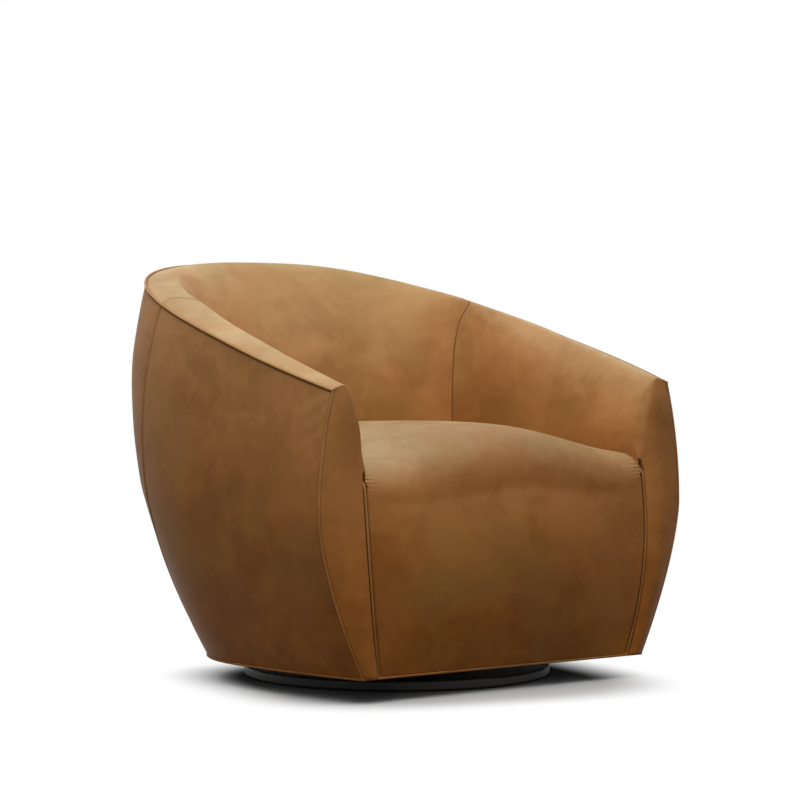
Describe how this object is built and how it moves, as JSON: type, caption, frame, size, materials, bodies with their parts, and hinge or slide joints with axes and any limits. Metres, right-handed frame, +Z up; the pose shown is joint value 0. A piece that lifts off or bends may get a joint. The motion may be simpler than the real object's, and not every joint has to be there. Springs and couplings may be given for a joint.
{
  "type": "swivel chair",
  "caption": "Low barrel-backed swivel armchair in mottled tan leather with sloping arms, a thick fixed seat, thin welted seams and a black disc plinth",
  "frame": {"origin": "on the swivel axis at floor level, centre of the felt pad's underside", "axes": "+X to the right of someone facing the chair, +Y towards its back (the sitter looks along -Y), +Z up"},
  "size_m": [0.8254, 0.8589, 0.7466],
  "materials": {
    "leather": "satin pull-up leather, mottled",
    "welt_leather": "satin, a little lighter on the ridge",
    "foam": "matt open-cell foam",
    "felt": "matt pressed felt",
    "dust_cloth": "matt non-woven cloth",
    "black_lacquer": "black satin lacquer on a board core",
    "bright_steel": "bright zinc plated",
    "swivel_steel": "satin black paint",
    "webbing": "matt woven elastic webbing",
    "cardboard": "matt upholstery board",
    "timber": "planed, uncoated",
    "plywood": "sawn, uncoated"
  },
  "bodies": {
    "plinth": {"floor_pad": "felt", "plinth_disc": "black_lacquer", "swivel_lower_plate": "swivel_steel", "swivel_balls": "bright_steel", "swivel_pivot": "bright_steel", "plinth_screws": "bright_steel"},
    "seat_shell": {"swivel_upper_plate": "swivel_steel", "rail_screws": "bright_steel", "mount_rail_left": "timber", "mount_rail_right": "timber", "dust_cover": "dust_cloth", "bottom_ring": "plywood", "seat_ring": "plywood", "top_rail": "plywood", "front_board": "plywood", "lower_post_front_left": "timber", "lower_post_front_right": "timber", "lower_post_side_left": "timber", "lower_post_side_right": "timber", "lower_post_back_left": "timber", "lower_post_back_right": "timber", "upper_post_front_left": "timber", "upper_post_front_right": "timber", "upper_post_side_left": "timber", "upper_post_side_right": "timber", "upper_post_back_left": "timber", "upper_post_back_right": "timber", "webbing_lengthwise": "webbing", "webbing_crosswise": "webbing", "seat_foam": "foam", "seat_cover": "leather", "arm_foam_left": "foam", "arm_foam_right": "foam", "back_foam": "foam", "inner_arm_cover_left": "leather", "inner_arm_cover_right": "leather", "inner_back_cover": "leather", "arm_front_foam_left": "foam", "arm_front_foam_right": "foam", "arm_front_cover_left": "leather", "arm_front_cover_right": "leather", "outer_liner_left": "cardboard", "outer_liner_right": "cardboard", "outer_liner_back": "cardboard", "outer_side_cover_left": "leather", "outer_side_cover_right": "leather", "outer_back_cover": "leather", "top_welt": "welt_leather", "rear_welt_left": "welt_leather", "rear_welt_right": "welt_leather", "front_welt_left": "welt_leather", "front_welt_right": "welt_leather", "seat_welt_left": "welt_leather", "seat_welt_right": "welt_leather", "bottom_welt": "welt_leather"}
  },
  "joints": [
    {"name": "swivel", "type": "hinge", "parent": "plinth", "child": "seat_shell", "pos_m": [0, 0, 0], "axis": [0, 0, 1], "continuous": true}
  ]
}
